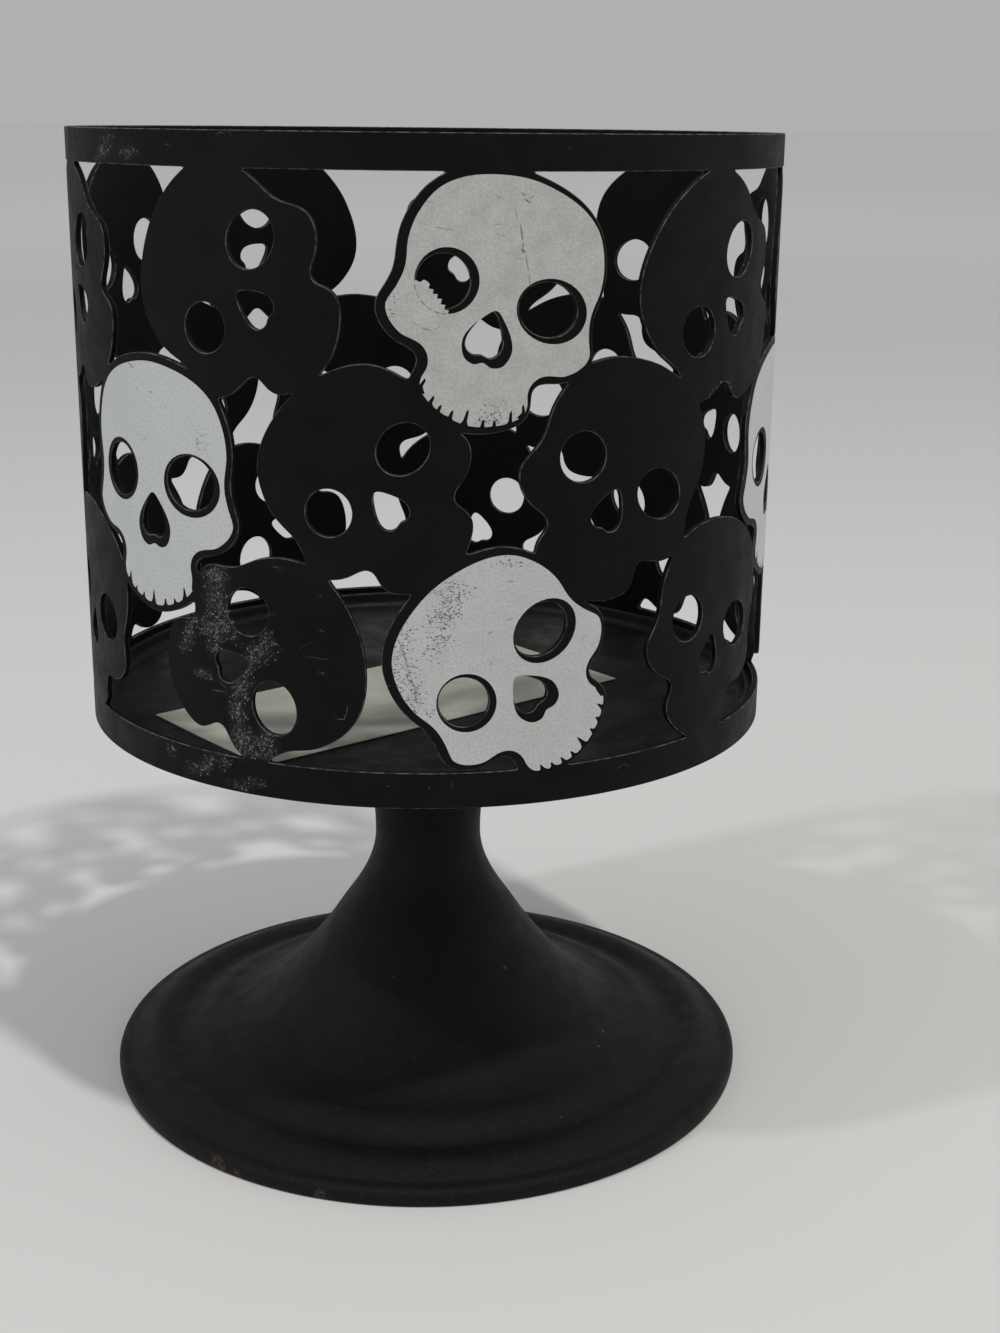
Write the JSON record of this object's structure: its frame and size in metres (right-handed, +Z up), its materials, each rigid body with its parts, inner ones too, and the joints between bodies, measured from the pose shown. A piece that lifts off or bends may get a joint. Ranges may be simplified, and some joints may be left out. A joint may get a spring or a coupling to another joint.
{
  "type": "skull candle holder",
  "caption": "Pedestal candle holder: a round metal wall pierced with overlapping skulls, some printed pale, round a shallow tray, on a waisted stem and a wide hollow foot.",
  "frame": {"origin": "middle of the foot's underside, on the axis that the drum, the tray and the pedestal share", "axes": "+Z up along that axis; -Y towards the viewer of the picture, +X to the viewer's right"},
  "size_m": [0.1148, 0.115, 0.162],
  "materials": {
    "black_coat": "matte black powder coat with a fine grain",
    "satin_coat": "satin black coat, smoother than the drum",
    "pale_paint": "flat pale grey print, lightly scuffed",
    "paper": "matte cream paper slip, blank"
  },
  "bodies": {
    "root": {"drum": "black_coat", "tray": "black_coat", "pedestal": "satin_coat", "label": "paper", "painted_face_1": "pale_paint", "painted_face_2": "pale_paint", "painted_face_3": "pale_paint", "painted_face_4": "pale_paint", "painted_face_5": "pale_paint", "painted_face_6": "pale_paint", "painted_face_7": "pale_paint", "painted_face_8": "pale_paint", "painted_face_9": "pale_paint"}
  },
  "joints": []
}
